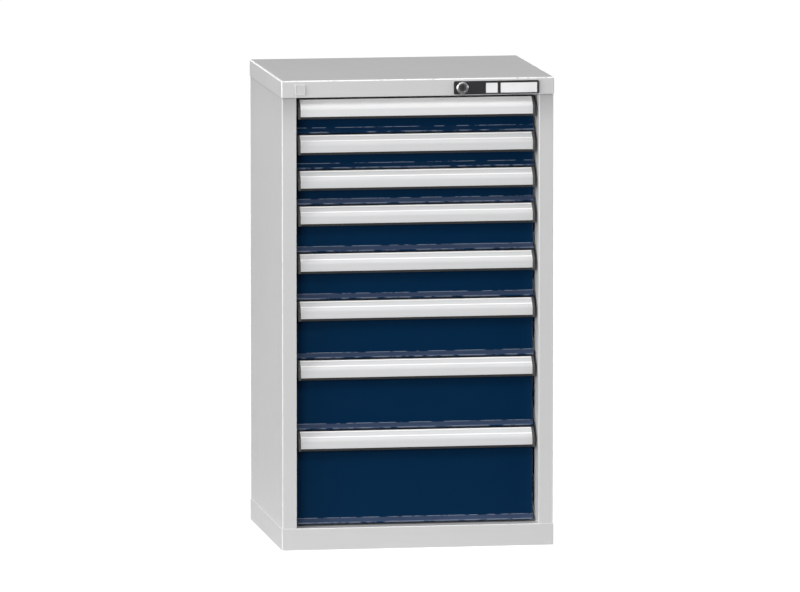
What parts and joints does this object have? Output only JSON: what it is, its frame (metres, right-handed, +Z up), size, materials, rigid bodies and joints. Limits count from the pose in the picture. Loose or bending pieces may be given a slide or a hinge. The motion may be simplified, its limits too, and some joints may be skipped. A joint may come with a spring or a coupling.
{
  "type": "drawer cabinet",
  "caption": "Light grey steel drawer cabinet with dark blue drawer fronts of stepped heights, silver label-strip handles and a central lock in its top cover.",
  "frame": {"origin": "middle of the footprint on the floor", "axes": "+Z up, +X to the right as seen from the front, the drawers open towards -Y"},
  "size_m": [0.578, 0.4786, 0.99],
  "materials": {
    "light_grey": "satin powder coat",
    "blue": "satin powder coat",
    "tray_grey": "satin powder coat",
    "zinc_steel": "zinc plated",
    "aluminium": "satin anodised",
    "dark_grey_plastic": "fine grained",
    "white_plastic": "smooth",
    "chrome": "polished",
    "dark_steel": "turned"
  },
  "bodies": {
    "cabinet": {"base_plinth": "light_grey", "left_side_panel": "light_grey", "right_side_panel": "light_grey", "back_panel": "light_grey", "top_cover": "light_grey", "upright_front_left": "light_grey", "upright_front_right": "light_grey", "upright_rear_left": "light_grey", "upright_rear_right": "light_grey", "cabinet_rails_left": "zinc_steel", "cabinet_rails_right": "zinc_steel", "lock_bezel": "dark_grey_plastic", "label_plates": "white_plastic", "lock_cylinder": "chrome", "lock_brackets": "zinc_steel", "badge_plate": "light_grey"},
    "drawer_1": {"drawer_1_tray": "tray_grey", "drawer_1_front": "blue", "drawer_1_grip": "dark_grey_plastic", "drawer_1_label_strip": "aluminium"},
    "slide_1": {"drawer_1_slide_mids": "zinc_steel"},
    "drawer_2": {"drawer_2_tray": "tray_grey", "drawer_2_front": "blue", "drawer_2_grip": "dark_grey_plastic", "drawer_2_label_strip": "aluminium"},
    "slide_2": {"drawer_2_slide_mids": "zinc_steel"},
    "drawer_3": {"drawer_3_tray": "tray_grey", "drawer_3_front": "blue", "drawer_3_grip": "dark_grey_plastic", "drawer_3_label_strip": "aluminium"},
    "slide_3": {"drawer_3_slide_mids": "zinc_steel"},
    "drawer_4": {"drawer_4_tray": "tray_grey", "drawer_4_front": "blue", "drawer_4_grip": "dark_grey_plastic", "drawer_4_label_strip": "aluminium"},
    "slide_4": {"drawer_4_slide_mids": "zinc_steel"},
    "drawer_5": {"drawer_5_tray": "tray_grey", "drawer_5_front": "blue", "drawer_5_grip": "dark_grey_plastic", "drawer_5_label_strip": "aluminium"},
    "slide_5": {"drawer_5_slide_mids": "zinc_steel"},
    "drawer_6": {"drawer_6_tray": "tray_grey", "drawer_6_front": "blue", "drawer_6_grip": "dark_grey_plastic", "drawer_6_label_strip": "aluminium"},
    "slide_6": {"drawer_6_slide_mids": "zinc_steel"},
    "drawer_7": {"drawer_7_tray": "tray_grey", "drawer_7_front": "blue", "drawer_7_grip": "dark_grey_plastic", "drawer_7_label_strip": "aluminium"},
    "slide_7": {"drawer_7_slide_mids": "zinc_steel"},
    "drawer_8": {"drawer_8_tray": "tray_grey", "drawer_8_front": "blue", "drawer_8_grip": "dark_grey_plastic", "drawer_8_label_strip": "aluminium"},
    "slide_8": {"drawer_8_slide_mids": "zinc_steel"},
    "lock_plug": {"lock_plug": "dark_steel", "lock_shaft": "zinc_steel", "lock_crank": "zinc_steel"},
    "lock_bar": {"lock_bar": "zinc_steel"}
  },
  "joints": [
    {"name": "drawer_1_slide", "type": "slide", "parent": "cabinet", "child": "drawer_1", "axis": [0, -1, 0], "range_m": [0, 0.38]},
    {"name": "slide_1_travel", "type": "slide", "parent": "cabinet", "child": "slide_1", "axis": [0, -1, 0], "range_m": [0, 0.19]},
    {"name": "drawer_2_slide", "type": "slide", "parent": "cabinet", "child": "drawer_2", "axis": [0, -1, 0], "range_m": [0, 0.38]},
    {"name": "slide_2_travel", "type": "slide", "parent": "cabinet", "child": "slide_2", "axis": [0, -1, 0], "range_m": [0, 0.19]},
    {"name": "drawer_3_slide", "type": "slide", "parent": "cabinet", "child": "drawer_3", "axis": [0, -1, 0], "range_m": [0, 0.38]},
    {"name": "slide_3_travel", "type": "slide", "parent": "cabinet", "child": "slide_3", "axis": [0, -1, 0], "range_m": [0, 0.19]},
    {"name": "drawer_4_slide", "type": "slide", "parent": "cabinet", "child": "drawer_4", "axis": [0, -1, 0], "range_m": [0, 0.38]},
    {"name": "slide_4_travel", "type": "slide", "parent": "cabinet", "child": "slide_4", "axis": [0, -1, 0], "range_m": [0, 0.19]},
    {"name": "drawer_5_slide", "type": "slide", "parent": "cabinet", "child": "drawer_5", "axis": [0, -1, 0], "range_m": [0, 0.38]},
    {"name": "slide_5_travel", "type": "slide", "parent": "cabinet", "child": "slide_5", "axis": [0, -1, 0], "range_m": [0, 0.19]},
    {"name": "drawer_6_slide", "type": "slide", "parent": "cabinet", "child": "drawer_6", "axis": [0, -1, 0], "range_m": [0, 0.38]},
    {"name": "slide_6_travel", "type": "slide", "parent": "cabinet", "child": "slide_6", "axis": [0, -1, 0], "range_m": [0, 0.19]},
    {"name": "drawer_7_slide", "type": "slide", "parent": "cabinet", "child": "drawer_7", "axis": [0, -1, 0], "range_m": [0, 0.38]},
    {"name": "slide_7_travel", "type": "slide", "parent": "cabinet", "child": "slide_7", "axis": [0, -1, 0], "range_m": [0, 0.19]},
    {"name": "drawer_8_slide", "type": "slide", "parent": "cabinet", "child": "drawer_8", "axis": [0, -1, 0], "range_m": [0, 0.38]},
    {"name": "slide_8_travel", "type": "slide", "parent": "cabinet", "child": "slide_8", "axis": [0, -1, 0], "range_m": [0, 0.19]},
    {"name": "lock_turn", "type": "hinge", "parent": "cabinet", "child": "lock_plug", "pos_m": [0.0933, -0.235, 0.97015], "axis": [0, 1, 0], "range_deg": [0, 90]},
    {"name": "lock_bar_lift", "type": "slide", "parent": "cabinet", "child": "lock_bar", "axis": [0, 0, 1], "range_m": [0, 0.008]}
  ],
  "couplings": [
    {"joint": "slide_1_travel", "follows": "drawer_1_slide", "ratio": 0.5},
    {"joint": "slide_2_travel", "follows": "drawer_2_slide", "ratio": 0.5},
    {"joint": "slide_3_travel", "follows": "drawer_3_slide", "ratio": 0.5},
    {"joint": "slide_4_travel", "follows": "drawer_4_slide", "ratio": 0.5},
    {"joint": "slide_5_travel", "follows": "drawer_5_slide", "ratio": 0.5},
    {"joint": "slide_6_travel", "follows": "drawer_6_slide", "ratio": 0.5},
    {"joint": "slide_7_travel", "follows": "drawer_7_slide", "ratio": 0.5},
    {"joint": "slide_8_travel", "follows": "drawer_8_slide", "ratio": 0.5},
    {"joint": "lock_turn", "follows": "lock_bar_lift", "rad_per_m": 196.3}
  ]
}
